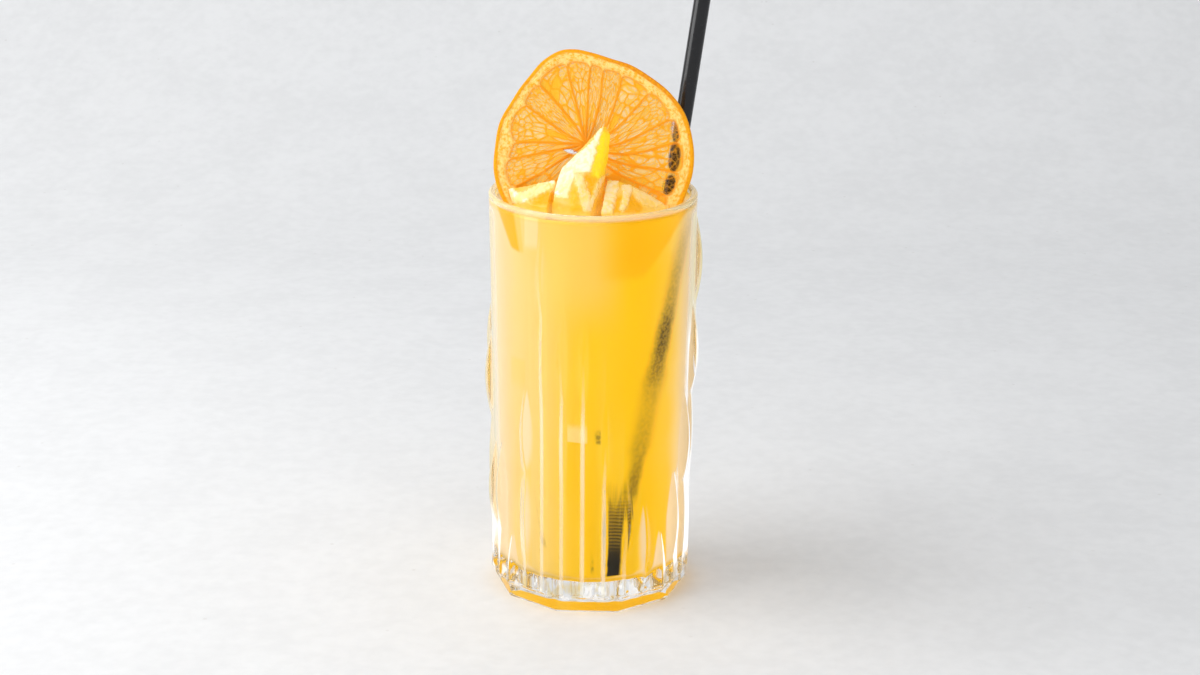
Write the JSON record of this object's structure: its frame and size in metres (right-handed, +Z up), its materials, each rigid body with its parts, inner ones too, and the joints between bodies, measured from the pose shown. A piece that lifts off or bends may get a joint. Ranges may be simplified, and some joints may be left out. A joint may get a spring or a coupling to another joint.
{
  "type": "iced tea",
  "caption": "Cloudy golden iced tea in a tall straight glass with staggered ribs, with ice, a dried orange slice leaning on the rim and a black straw.",
  "frame": {"origin": "middle of the glass's flat underside", "axes": "+Z up along the glass's axis, -Y towards the front, where the ice is, and +X to the right of someone who faces the front; the straw leans to +X and +Y"},
  "size_m": [0.0851, 0.0797, 0.2418],
  "materials": {
    "clear_glass": "clear pressed glass, polished",
    "cloudy_tea": "cloudy golden yellow liquid",
    "dried_orange": "dried fruit, thin translucent flesh with orange veins",
    "black_plastic": "glossy black",
    "wet_ice": "wet, partly frosted ice"
  },
  "bodies": {
    "root": {"glass": "clear_glass", "iced_tea": "cloudy_tea", "orange_slice": "dried_orange", "straw": "black_plastic", "ice_peak": "wet_ice", "ice_right": "wet_ice", "ice_left": "wet_ice"}
  },
  "joints": []
}
